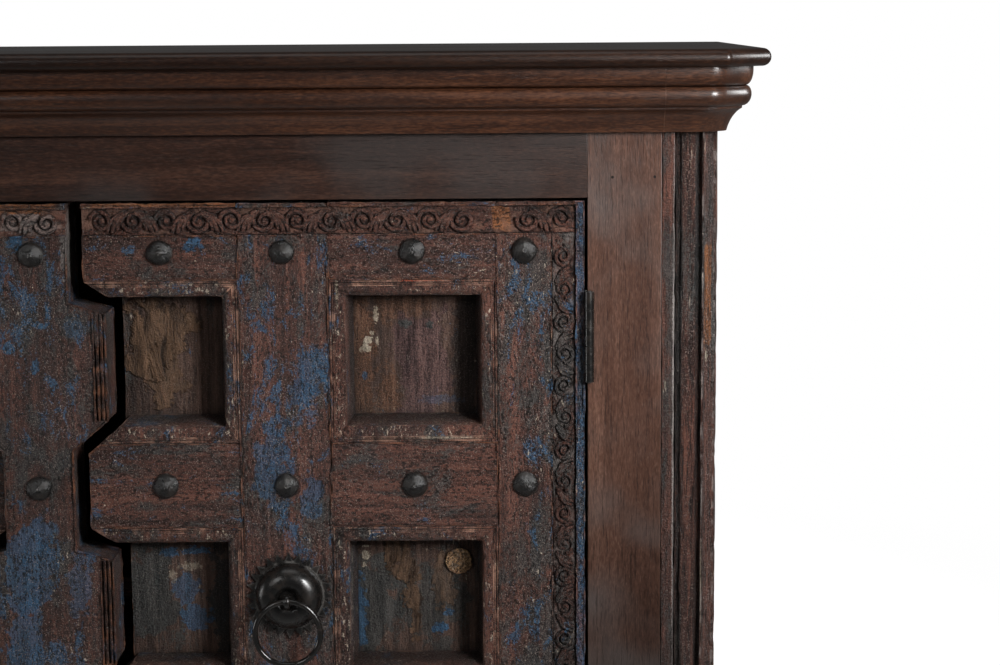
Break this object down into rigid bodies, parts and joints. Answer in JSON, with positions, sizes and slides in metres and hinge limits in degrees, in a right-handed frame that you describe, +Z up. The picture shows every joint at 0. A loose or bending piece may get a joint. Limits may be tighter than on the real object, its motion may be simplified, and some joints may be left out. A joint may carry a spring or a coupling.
{
  "type": "sideboard",
  "caption": "Carved sideboard with old panelled doors, iron studs and ring pulls, a moulded cornice with canted corners, reeded posts and a moulded plinth.",
  "frame": {"origin": "middle of the footprint on the floor", "axes": "+Z up, front faces -Y, +X to the right seen from the front"},
  "size_m": [1.332, 0.451, 0.99],
  "materials": {
    "dark_wood": "new hardwood stained dark brown, hand-waxed to a satin sheen",
    "plain_wood": "plain sawn and planed hardwood, lightly stained",
    "old_wood": "old reddish-brown wood with worn traces of blue and cream paint",
    "painted_wood": "old wood under worn blue paint",
    "panel_wood": "weathered boards with dried plaster and paint remains",
    "black_iron": "forged iron, blackened and oiled"
  },
  "bodies": {
    "carcass": {"top_board": "dark_wood", "cornice_front": "dark_wood", "cornice_corner_left": "dark_wood", "cornice_corner_right": "dark_wood", "cornice_side_left": "dark_wood", "cornice_side_right": "dark_wood", "top_rail": "dark_wood", "bottom_rail": "dark_wood", "stile_left": "dark_wood", "stile_right": "dark_wood", "corner_strips_left": "dark_wood", "corner_strips_right": "dark_wood", "corner_post_left": "old_wood", "corner_post_right": "old_wood", "side_frame_left": "dark_wood", "side_frame_right": "dark_wood", "side_panel_left": "dark_wood", "side_panel_right": "dark_wood", "back_rails": "plain_wood", "back_boards": "plain_wood", "floor_board": "plain_wood", "floor_cleats": "plain_wood", "shelf": "plain_wood", "shelf_cleats": "plain_wood", "door_stop": "plain_wood", "plinth_front": "dark_wood", "plinth_corner_left": "dark_wood", "plinth_corner_right": "dark_wood", "plinth_side_left": "dark_wood", "plinth_side_right": "dark_wood", "hinge_frame_leaves": "black_iron", "hinge_pins": "black_iron"},
    "left_door": {"centre_plank": "painted_wood", "hinge_stile_left": "painted_wood", "muntin_left": "painted_wood", "outer_rails_left": "old_wood", "middle_rails_left": "old_wood", "backing_left": "panel_wood", "mouldings_left": "old_wood", "frieze_left": "old_wood", "upright_carving_left": "old_wood", "studs_left": "black_iron", "hinge_leaves_left": "black_iron", "rose_left": "black_iron", "eye_left": "black_iron"},
    "right_door": {"hinge_stile_right": "painted_wood", "muntin_right": "painted_wood", "outer_rails_right": "old_wood", "middle_rails_right": "old_wood", "backing_right": "panel_wood", "mouldings_right": "old_wood", "frieze_right": "old_wood", "upright_carving_right": "old_wood", "studs_right": "black_iron", "hinge_leaves_right": "black_iron", "rose_right": "black_iron", "eye_right": "black_iron"},
    "left_ring": {"ring_left": "black_iron"},
    "right_ring": {"ring_right": "black_iron"}
  },
  "joints": [
    {"name": "left_door_hinge", "type": "hinge", "parent": "carcass", "child": "left_door", "pos_m": [-0.5034, -0.1841, 0.48], "axis": [0, 0, -1], "range_deg": [0, 160]},
    {"name": "right_door_hinge", "type": "hinge", "parent": "carcass", "child": "right_door", "pos_m": [0.5034, -0.1841, 0.48], "axis": [0, 0, 1], "range_deg": [0, 160]},
    {"name": "left_ring_swing", "type": "hinge", "parent": "left_door", "child": "left_ring", "pos_m": [-0.226, -0.2035, 0.491], "axis": [-1, 0, 0], "range_deg": [-18, 198]},
    {"name": "right_ring_swing", "type": "hinge", "parent": "right_door", "child": "right_ring", "pos_m": [0.226, -0.2035, 0.491], "axis": [-1, 0, 0], "range_deg": [-18, 198]}
  ]
}
